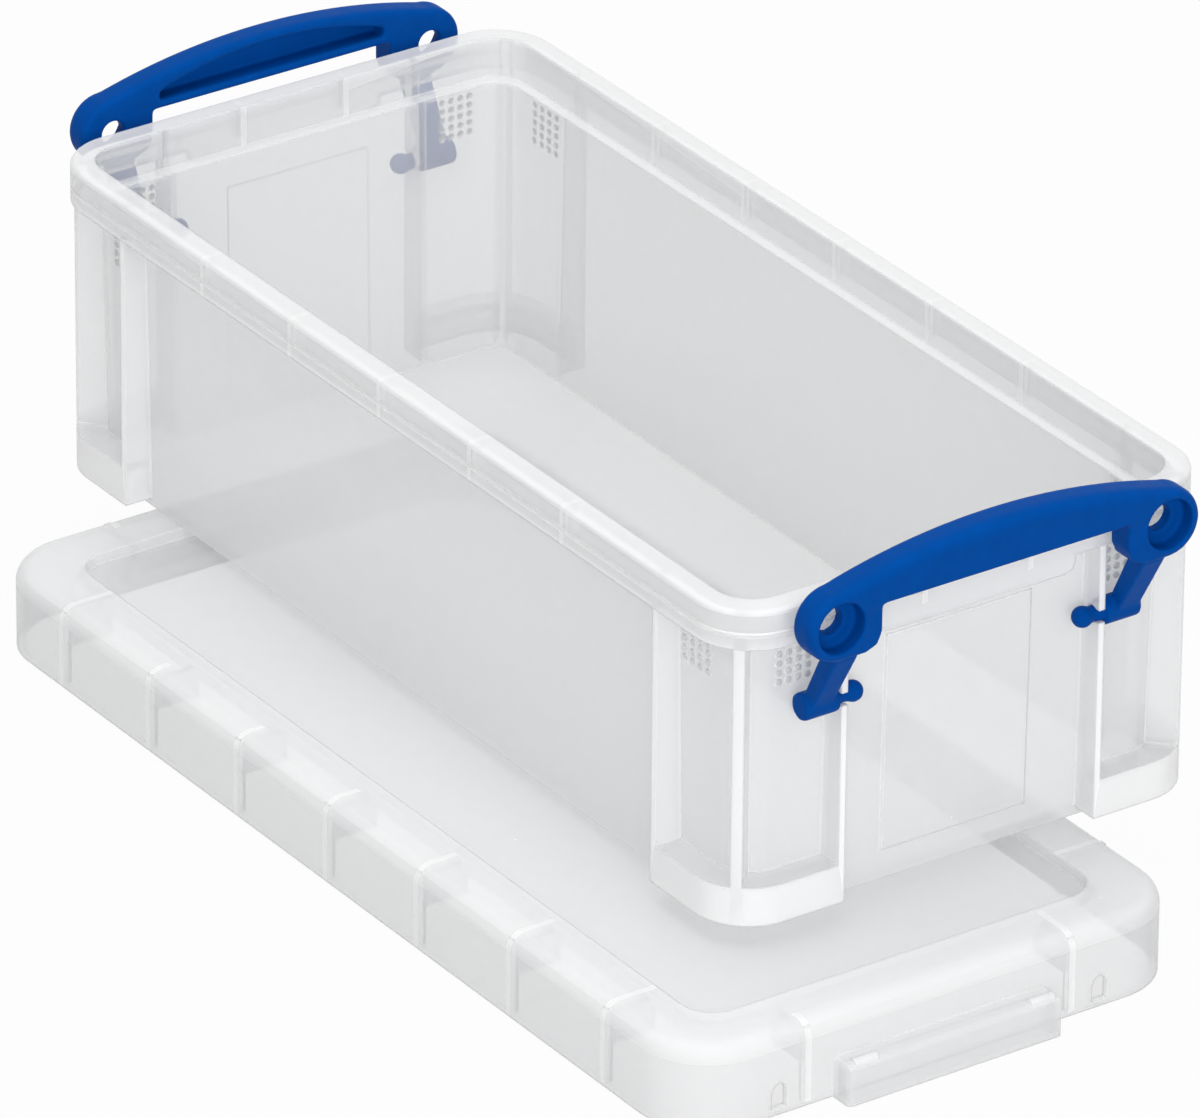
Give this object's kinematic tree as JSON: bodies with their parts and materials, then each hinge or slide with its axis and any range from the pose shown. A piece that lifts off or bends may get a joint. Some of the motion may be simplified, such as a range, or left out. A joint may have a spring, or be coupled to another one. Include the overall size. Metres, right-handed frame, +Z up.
{
  "type": "plastic storage box",
  "caption": "Clear plastic storage box standing open on its own lid: a ribbed tub with a flanged rim and a fold-down blue clip handle at each end.",
  "frame": {"origin": "centre of the bounding box in plan, on the surface that the lid lies on", "axes": "+X along the box's length towards the nearer handle, +Y across it, +Z up"},
  "size_m": [0.2436, 0.1226, 0.0837],
  "materials": {
    "clear_plastic": "translucent polypropylene, semi-gloss",
    "blue_plastic": "opaque royal blue polypropylene, semi-gloss"
  },
  "bodies": {
    "lid": {"lid": "clear_plastic"},
    "tub": {"tub": "clear_plastic"},
    "handle_near": {"handle_near": "blue_plastic"},
    "handle_far": {"handle_far": "blue_plastic"}
  },
  "joints": [
    {"name": "tub_lift", "type": "slide", "parent": "lid", "child": "tub", "axis": [0, 0, 1], "range_m": [0, 0.08]},
    {"name": "handle_near_hinge", "type": "hinge", "parent": "tub", "child": "handle_near", "pos_m": [0.08895, 0.01325, 0.0544], "axis": [0, 1, 0], "range_deg": [0, 130]},
    {"name": "handle_far_hinge", "type": "hinge", "parent": "tub", "child": "handle_far", "pos_m": [-0.11125, 0.01325, 0.0544], "axis": [0, -1, 0], "range_deg": [0, 130]}
  ]
}
